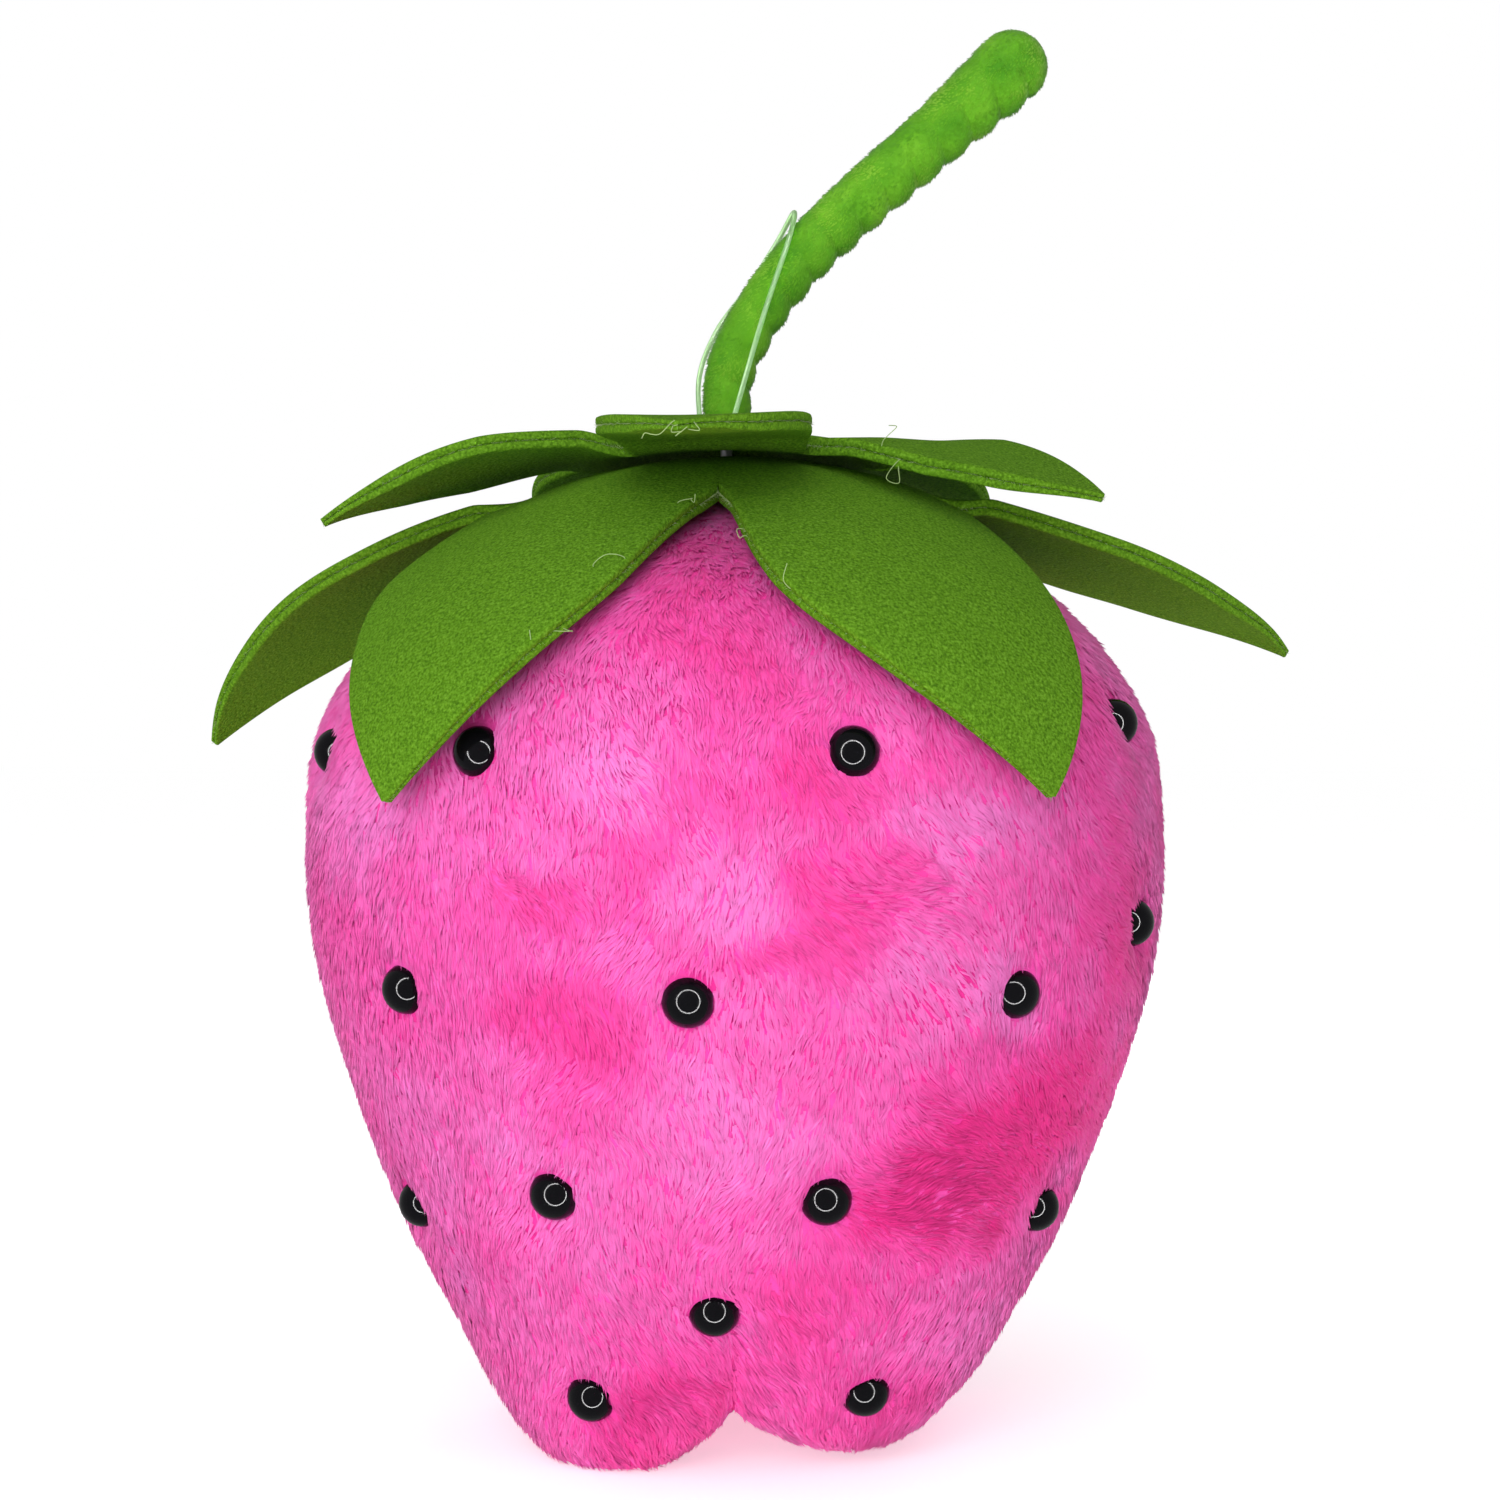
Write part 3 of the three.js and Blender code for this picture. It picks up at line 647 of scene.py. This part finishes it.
def pile_piece(name, grid, normals, centres, shades, rng):
    """The tufts of one gore, leaning with the nap and drawn together in small clumps."""
    places, up = scattered(grid, normals, TUFTS_PER_GORE, rng)
    kept = clear_of_beads(places, centres) & (np.hypot(places[:, 0], places[:, 1]) > 9)
    places, up = places[kept], up[kept]
    # Patches of turned pile, with their painted shade and sheen.
    patches = turned_nap_and_painted_shade(places)
    lie = nap_direction(places, up, patches)
    clump = np.stack([noise_at(places, 1.4, seed) for seed in (11.0, 23.0, 37.0)], -1)
    lift = 0.26 + 0.15 * noise_at(places, 3, 4.4)[:, None] + 0.06 * rng.standard_normal((len(up), 1))
    heading = unit(lie + up * lift + 0.65 * clump + 0.1 * rng.standard_normal(up.shape))
    outward = np.sum(heading * up, 1, keepdims=True)
    heading = unit(heading + up * (np.clip(outward, 0.1, 0.3) - outward))
    length = TUFT_LENGTH * (0.8 + 0.4 * rng.random((len(up), 1)))
    roots = places - up * PILE_DEPTH
    heads = roots + heading * length
    heads[:, 2] = np.maximum(heads[:, 2], 0.05)
    kept = clear_of_beads(heads, centres)
    roots, heads, places, up, patches = (values[kept] for values in (roots, heads, places, up, patches))
    widths = TUFT_WIDTH * (0.7 + 0.6 * rng.random(len(up)))
    points, faces = tufts(roots, heads, widths, 0.2)
    # Each tuft takes one of the painted shades, by the nap's painted shade and sheen.
    lightness = painted_nap_shade(places, patches) + 0.05 * rng.standard_normal(len(up))
    shade = np.clip(lightness * PILE_SHADES, 0, PILE_SHADES - 1).astype(int)
    piece = mesh_piece(f"pile_{name}", points, [faces], shades, np.repeat(shade, 4))
    soften_normals(piece, np.repeat(up, 4, 0), 0.72)
    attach(piece, "cushion")
    return piece


def bead_outline():
    """A bead's section, from its hole's wall over a rounded lip and round its outside."""
    hole = BEAD_HOLE_RADIUS
    lip = 0.25
    start = math.asin((hole + lip) / BEAD_RADIUS)
    angles = np.linspace(start, math.pi - start, 19)
    outside = [(BEAD_RADIUS * math.sin(a), -BEAD_RADIUS * math.cos(a)) for a in angles]
    end = BEAD_RADIUS * math.cos(start)
    near = [(hole, -end + lip), (hole + 0.08, -end + 0.08)]
    far = [(r, -z) for r, z in reversed(near)]
    return near + outside + far


def bead_piece(number, centre, material):
    """A glossy bead with a hole through it, level along the cushion."""
    out, along = level_axes(math.atan2(centre[0], -centre[1]))
    up = np.array([0, 0, 1.0])
    turns = np.arange(BEAD_SIDES) * 2 * math.pi / BEAD_SIDES
    spokes = np.outer(np.cos(turns), out) + np.outer(np.sin(turns), up)
    rings = np.array([centre + r * spokes + z * along for r, z in bead_outline()])
    count, sides = rings.shape[:2]
    index = np.arange(count * sides).reshape(count, sides)
    ahead = np.roll(index, -1, 0)
    quads = np.stack([index, np.roll(index, -1, 1), np.roll(ahead, -1, 1), ahead], -1)
    name = f"seed_bead_{number:02d}"
    piece = mesh_piece(name, rings.reshape(-1, 3), [quads.reshape(-1, 4)[:, ::-1]], [material])
    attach(piece, "cushion")
    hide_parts(f"bead_{number:02d}")
    return piece


def tube_rings(line, radius, sides, helper=(0, 1.0, 0)):
    """Rings round a line of points, for a tube of a radius (one number, or one per point).
    The helper is a direction that the line never takes."""
    headings = unit(np.gradient(line, axis=0))
    side = unit(np.cross(headings, helper) + 1e-9)
    other = np.cross(headings, side)
    turns = np.arange(sides) * 2 * math.pi / sides
    size = np.broadcast_to(radius, (len(line),))[:, None, None]
    circle = np.cos(turns)[None, :, None] * side[:, None] + np.sin(turns)[None, :, None] * other[:, None]
    return line[:, None] + size * circle


def bead_stitches(centres, material):
    """The thread through each bead, which goes down into the cover at both ends."""
    points, quads, caps = [], [], []
    for centre in centres:
        out, along = level_axes(math.atan2(centre[0], -centre[1]))
        shape = [(-3.6, -2.4), (-3.0, -0.9), (-2.2, 0), (2.2, 0), (3.0, -0.9), (3.6, -2.4)]
        line = spline([centre + a * along + o * out for a, o in shape], 18)
        ring_points, (ring_quads, ring_caps) = lofted(tube_rings(line + 1e-6, 0.22, 6))
        start = sum(len(block) for block in points)
        points.append(ring_points)
        quads.append(ring_quads + start)
        caps.append(ring_caps + start)
    faces = [np.vstack(quads), np.vstack(caps)]
    piece = mesh_piece("bead_stitches", np.vstack(points), faces, [material])
    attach(piece, "cushion")


def build_cushion():
    centres = bead_centres()
    grid, normals = cover_surface(centres)
    ground = plush_ground()
    # The pile's colour in painted shades, from painted shade to painted sheen.
    shades = [painted_pile_shade(level / (PILE_SHADES - 1)) for level in range(PILE_SHADES)]
    rng = np.random.default_rng(7)
    for number, name in enumerate(GORES):
        part, part_normals = gore_slice(grid, number), gore_slice(normals, number)
        gore_piece(name, part, part_normals, ground)
        pile_piece(name, part, part_normals, centres, shades, rng)
    glossy = bead_material()
    for number, centre in enumerate(centres, 1):
        bead_piece(number, centre, glossy)
    bead_stitches(centres, inner_material("pink_thread", *PINK_THREAD_TONES, 0.4))


# ---- calyx ----

def dome_height(star, radius):
    knots = np.array(star["dome"], float)
    curve = spline(knots, 60)
    return np.interp(radius, curve[:, 0], curve[:, 1])


def leaf_line(star, root, tip, bend):
    """A leaf's centreline (radius, height) from the star's middle to its tip, evenly spaced."""
    start = np.linspace(1.6, root, 20)
    middle = np.column_stack([start, dome_height(star, start)])
    outer = bezier(middle[-1], *bend, tip, 60)
    return evenly(np.vstack([middle, outer[1:]]), LEAF_STATIONS)


def leaf_half_widths(star, line, root, share):
    """Half the leaf's width at each station: a sector of the star, then a pointed oval."""
    base = root * math.tan(HALF_POINT)
    widest = star["half_width"]
    swell = base + (widest - base) * np.sin(0.5 * math.pi * np.minimum(share / WIDEST_AT, 1))
    left = np.clip((share - WIDEST_AT) / (1 - WIDEST_AT), 0, 1)
    taper = 0.35 + (widest - 0.35) * (1 - left**1.75)
    oval = np.where(share < WIDEST_AT, swell, taper)
    return np.where(line[:, 0] <= root, line[:, 0] * math.tan(HALF_POINT), oval)


def leaf_section(half, free, thickness):
    """A leaf's section, as distances to the side and depths: the top, an edge, the underside and
    the other edge. The edges are square until the leaf is free of its neighbours."""
    inset, depth = EDGE_SECTION.T
    cut = free * np.minimum(inset, 0.6 * half)
    edge = half - cut
    top = np.linspace(-1, 1, LEAF_STRIPS + 1) * edge[0]
    plies = depth * thickness
    lateral = np.concatenate([top[:-1], edge, -top[1:-1], -edge[:0:-1]])
    depths = [np.zeros(LEAF_STRIPS), plies, np.full(LEAF_STRIPS - 1, plies[-1]), plies[:0:-1]]
    return lateral, np.concatenate(depths)


def leaf_rings(name, shape):
    """A leaf's sections from the star's middle to its tip, with half widths and lengths so far."""
    azimuth, tip, bend, wrap, sweep, bow, roll = shape
    star = STARS[name.split("_")[0]]
    root = star["corner"] * math.cos(HALF_POINT)
    line = leaf_line(star, root, tip, bend)
    lengths = np.concatenate([[0], np.cumsum(np.linalg.norm(np.diff(line, axis=0), axis=1))])
    past_root = lengths - np.interp(root, line[:, 0], lengths)
    share = np.clip(past_root / past_root[-1], 0, 1)
    half = leaf_half_widths(star, line, root, share)
    out, side = level_axes(math.radians(azimuth))
    heading = unit(np.gradient(line, axis=0))
    normal = heading[:, :1] * [[0, 0, 1.0]] - heading[:, 1:] * out
    turn = np.radians(roll) * np.minimum(1, 2 * share)[:, None]
    across = np.cos(turn) * side - np.sin(turn) * normal
    up = np.cos(turn) * normal + np.sin(turn) * side
    curve = np.maximum(1e-5, -heading[:, 1] * wrap / line[:, 0])
    aside = sweep * share**2 + bow * (4 * share * (1 - share))**2
    free = smoothstep(past_root / 8)
    thickness = 1 - 0.5 * smoothstep((share - 0.7) / 0.3)
    rings = []
    for i, (radius, height) in enumerate(line):
        lateral, depth = leaf_section(half[i], free[i], thickness[i])
        on_dome = radius * out + lateral[:, None] * side
        on_dome[:, 2] = dome_height(star, np.hypot(radius, lateral)) - depth
        angle = (lateral * curve[i])[:, None]
        reach = (1 / curve[i] - depth)[:, None]
        own = (
            radius * out + [0, 0, height] + aside[i] * side
            + np.sin(angle) * reach * across[i] + (np.cos(angle) * reach - 1 / curve[i]) * up[i]
        )
        rings.append(on_dome * (1 - free[i]) + own * free[i])
    rings = np.array(rings)
    ripple = 0.35 * noise_at(rings, 14, azimuth) * free[:, None]
    return rings + normal[:, None] * ripple[..., None], half, lengths


def leaf_piece(name, shape, material, fibre, rng):
    """One leaf of a star with its share of the star's middle: two plies of felt, laminated."""
    rings, half, lengths = leaf_rings(name, shape)
    points, faces = lofted(rings)
    piece = mesh_piece(f"felt_{name}", points, faces, [material])
    sharpen(piece, 55)
    blend_leaf(piece)
    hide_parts(name, f"{name.split('_')[0]}_calyx_centre")
    blend_leaf(edge_fuzz(name, rings, fibre, rng))


def edge_fuzz(name, rings, material, rng):
    """Short loose fibres along a leaf's cut edge, and a few long ones that curl."""
    outline = np.concatenate([rings[:, LEAF_STRIPS + 5], rings[::-1, -5]])
    middle = np.concatenate([rings.mean(1), rings[::-1].mean(1)])
    count = FUZZ_PER_LEAF[name.split("_")[0]]
    chosen = rng.integers(len(rings) // 4, len(outline) - len(rings) // 4, count)
    share = rng.random((count, 1))
    after = np.minimum(chosen + 1, len(outline) - 1)
    roots = outline[chosen] * (1 - share) + outline[after] * share
    heading = unit(unit(roots - middle[chosen]) + 0.9 * rng.standard_normal((count, 3)))
    heads = roots + heading * (0.2 + 0.6 * rng.random((count, 1)))
    points, faces = tufts(roots, heads, np.full(count, 0.045), 0.1)
    faces = [faces]
    for leaf, place, edge, reach in LINT_CURLS:
        if leaf == name:
            ring = rings[round(place * LEAF_STATIONS)]
            root = ring[LEAF_STRIPS + 5 if edge > 0 else -5]
            curl_points, curl_faces = lint_curl(root, unit(root - ring.mean(0)), reach, rng)
            faces += [block + len(points) for block in curl_faces]
            points = np.vstack([points, curl_points])
    return mesh_piece(f"fuzz_{name}", points, faces, [material])


def lint_curl(root, outward, reach, rng):
    """A long stray fibre that wanders out from an edge and turns back on itself."""
    wander = np.cumsum(rng.standard_normal((5, 3)), 0) * [0.3, 0.1, 0.3]
    path = root + reach * (wander + outward * [[0.1], [0.3], [0.4], [0.3], [0.1]])
    line = spline([root - 0.4 * outward, *path], 48)
    return lofted(tube_rings(line, 0.05, 5))


def blend_leaf(piece):
    """Bakes a leaf piece's transform into its mesh."""
    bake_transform(piece)


def build_calyx():
    felt = felt_material()
    fibre = plain_fibre("felt_fibre", (0.30, 0.42, 0.16), 0.1)
    rng = np.random.default_rng(5)
    for name, shape in LEAVES.items():
        leaf_piece(name, shape, felt, fibre, rng)


# ---- stem ----

def stem_surface():
    """The wound cover's rings: ridges run round it, and stand out most on its lower side."""
    line = spline([(x, 0, z) for x, z in STEM_LINE], 240)
    headings = unit(np.gradient(line, axis=0))
    share = np.linspace(0, 1, len(line))
    radius = np.interp(share, *zip(*STEM_RADII))
    lengths = share * np.linalg.norm(np.diff(line, axis=0), axis=1).sum()
    before = np.linspace(0.98, 0.1, 8)
    beyond = np.linspace(0.1, 0.985, 10)
    start_cap = line[0] - headings[0] * radius[0] * before[:, None]
    end_cap = line[-1] + headings[-1] * radius[-1] * beyond[:, None]
    start_size = radius[0] * np.sqrt(1 - before**2)
    end_size = radius[-1] * np.sqrt(1 - beyond**2)
    line = np.vstack([start_cap, line, end_cap])
    radius = np.concatenate([start_size, radius, end_size])
    lengths = np.concatenate([np.zeros(len(before)), lengths, np.full(len(beyond), lengths[-1])])
    rings = tube_rings(line, radius, STEM_SIDES)
    turns = np.arange(STEM_SIDES) * 2 * math.pi / STEM_SIDES
    phase = lengths[:, None] / STEM_WRAP_PITCH + turns / (2 * math.pi)
    ridge = np.abs(np.sin(math.pi * phase))**0.7
    lower_side = 0.5 - 0.5 * np.cos(turns)
    size = 1 + (0.03 + 0.17 * lower_side) * (ridge - 0.75)
    return line[:, None] + (rings - line[:, None]) * size[..., None]


def blend_stem(piece):
    """Bakes a stem piece's transform into its mesh."""
    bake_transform(piece)


def stem_pile(rings):
    """The short pile that leans towards the stem's foot."""
    closed = np.concatenate([rings, rings[:, :1]], 1)
    normals = unit(np.cross(np.gradient(closed, axis=1), np.gradient(closed, axis=0)))
    centre = rings.mean(1)[:, None]
    normals *= np.sign(np.sum(normals * (closed - centre), -1, keepdims=True))
    rng = np.random.default_rng(11)
    places, up = scattered(closed, normals, STEM_TUFTS, rng)
    clump = np.stack([noise_at(places, 1.3, seed) for seed in (3.0, 13.0, 29.0)], -1)
    heading = unit(up * 0.6 + clump * 0.6 + 0.1 * rng.standard_normal(up.shape) + [[-0.5, 0, -0.6]])
    heading = unit(heading + up * np.maximum(0, 0.25 - np.sum(heading * up, 1, keepdims=True)))
    heads = places + heading * (0.25 + 0.2 * rng.random((len(up), 1)))
    points, faces = tufts(places, heads, np.full(len(up), 0.11), 0.15)
    tones = [(0.085, 0.30, 0.009), (0.115, 0.36, 0.012), (0.150, 0.41, 0.017), (0.20, 0.46, 0.026)]
    fibres = [plain_fibre(f"stem_fibre_{i}", tone, 0.15) for i, tone in enumerate(tones)]
    lightness = 0.5 + 0.7 * noise_at(places, 4, 8.8) + 0.05 * rng.standard_normal(len(up))
    shade = np.clip(lightness * len(tones), 0, len(tones) - 1).astype(int)
    pile = mesh_piece("stem_pile", points, [faces], fibres, np.repeat(shade, 4))
    soften_normals(pile, np.repeat(up, 4, 0), 0.85)
    blend_stem(pile)


def build_stem():
    rings = stem_surface()
    points, faces = lofted(rings)
    cover = mesh_piece("stem_cover", points, faces, [stem_ground()])
    blend_stem(cover)
    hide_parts("stem_lower_cover", "stem_upper_cover")
    stem_pile(rings)


def build_nylon():
    """The clear thread, laid as a tube along its route up the stem and back down to the felt."""
    line = spline(NYLON_ROUTE, 160)
    points, faces = lofted(tube_rings(line, NYLON_RADIUS, 12, helper=(1.0, 0.3, 0)))
    piece = mesh_piece("nylon_thread", points, faces, [nylon_material()])
    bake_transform(piece)
    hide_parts("nylon_loop")


# ---- hidden CAD pieces ----

def dress_inner_nodes():
    wire = inner_material("drawn_wire", (0.45, 0.45, 0.46), (0.62, 0.62, 0.63), 0.5, 1.0, 0.35)
    looks = {
        "fibre_filling": inner_material("loose_fibre", (0.75, 0.73, 0.70), (0.95, 0.94, 0.92), 2.0),
        "neck_thread": inner_material("neck_thread", *PINK_THREAD_TONES, 0.4),
        "calyx_glue": inner_material("set_glue", (0.78, 0.70, 0.52), (0.9, 0.84, 0.68), 1.5, 0.0, 0.4),
        "anchor_wire": wire,
        "stem_lower_wire": wire,
        "stem_upper_wire": wire,
    }
    for node, material in looks.items():
        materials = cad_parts[node].data.materials
        materials.clear()
        materials.append(material)


# ---- camera, light and floor ----

def build_camera():
    data = bpy.data.cameras.new("camera")
    data.sensor_width = SENSOR_WIDTH
    data.lens = SENSOR_WIDTH * CAMERA_DISTANCE / FIELD_WIDTH
    data.clip_start = 0.01
    camera = bpy.data.objects.new("camera", data)
    camera.location = CAMERA_CENTRE - Vector((0, CAMERA_DISTANCE, 0))
    camera.rotation_euler = (math.pi / 2, 0, 0)
    bpy.context.collection.objects.link(camera)
    bpy.context.scene.camera = camera


def emission(name, strength):
    material = bpy.data.materials.new(name)
    material.use_nodes = True
    nodes = material.node_tree.nodes
    nodes.clear()
    light = nodes.new("ShaderNodeEmission")
    light.inputs["Strength"].default_value = strength
    output = nodes.new("ShaderNodeOutputMaterial")
    material.node_tree.links.new(light.outputs["Emission"], output.inputs["Surface"])
    return material


def build_ring_light():
    """A ring round the lens that only shows as a reflection."""
    place = CAMERA_CENTRE - Vector((0, CAMERA_DISTANCE - RING_LIGHT_FORWARD, 0))
    bpy.ops.mesh.primitive_torus_add(
        location=place, rotation=(math.pi / 2, 0, 0), major_segments=96, minor_segments=12,
        major_radius=RING_LIGHT_RADIUS, minor_radius=RING_LIGHT_TUBE,
    )
    ring = bpy.context.object
    ring.name = "ring_light"
    ring.visible_camera = False
    ring.visible_diffuse = False
    ring.data.materials.append(emission("ring_light", RING_LIGHT_STRENGTH))


def add_light(name, kind, energy, place, target):
    data = bpy.data.lights.new(name, kind)
    data.energy = energy
    light = bpy.data.objects.new(name, data)
    light.location = place
    light.rotation_euler = (target - place).to_track_quat("-Z", "Y").to_euler()
    light.visible_glossy = False
    bpy.context.collection.objects.link(light)
    return data


def build_lights():
    """Soft light from in front, from behind and from above, and the ring round the lens."""
    build_ring_light()
    middle = Vector((0, 0, CAMERA_CENTRE.z))
    soft_lights = {
        "front_light": (FRONT_LIGHT_POWER, FRONT_LIGHT_PLACE),
        "back_light": (BACK_LIGHT_POWER, BACK_LIGHT_PLACE),
    }
    for name, (power, place) in soft_lights.items():
        soft = add_light(name, "AREA", power, place, middle)
        soft.shape = "DISK"
        soft.size = SOFT_LIGHT_SIZE
    top = add_light("top_light", "SUN", TOP_LIGHT_STRENGTH, Vector((-0.3, -0.5, 1.2)), middle)
    top.angle = math.radians(70)


def build_surround():
    """A pale surround for light, behind which the camera sees plain white."""
    world = bpy.data.worlds.new("white_surround")
    world.use_nodes = True
    nodes, links = world.node_tree.nodes, world.node_tree.links
    surround = nodes["Background"]
    surround.inputs["Color"].default_value = (1, 1, 1, 1)
    surround.inputs["Strength"].default_value = SURROUND_STRENGTH
    backdrop = nodes.new("ShaderNodeBackground")
    backdrop.inputs["Color"].default_value = (1, 1, 1, 1)
    backdrop.inputs["Strength"].default_value = BACKDROP_WHITE
    path = nodes.new("ShaderNodeLightPath")
    mix = nodes.new("ShaderNodeMixShader")
    links.new(path.outputs["Is Camera Ray"], mix.inputs["Fac"])
    links.new(surround.outputs["Background"], mix.inputs[1])
    links.new(backdrop.outputs["Background"], mix.inputs[2])
    links.new(mix.outputs["Shader"], nodes["World Output"].inputs["Surface"])
    bpy.context.scene.world = world


def build_floor():
    """A wide white disc that takes the shadow and glows enough to hide its far edge."""
    bpy.ops.mesh.primitive_circle_add(vertices=96, radius=12, fill_type="NGON")
    floor = bpy.context.object
    floor.name = "floor"
    material, *_, shader = new_material("pale_floor")
    shader.inputs["Base Color"].default_value = (0.97, 0.97, 0.97, 1)
    shader.inputs["Emission Color"].default_value = (1, 1, 1, 1)
    shader.inputs["Emission Strength"].default_value = FLOOR_GLOW
    shader.inputs["Roughness"].default_value = 0.9
    floor.visible_glossy = False
    floor.data.materials.append(material)


build_camera()
build_lights()
build_surround()
build_floor()
build_cushion()
build_calyx()
build_stem()
build_nylon()
dress_inner_nodes()
bpy.context.scene.view_settings.view_transform = "Standard"
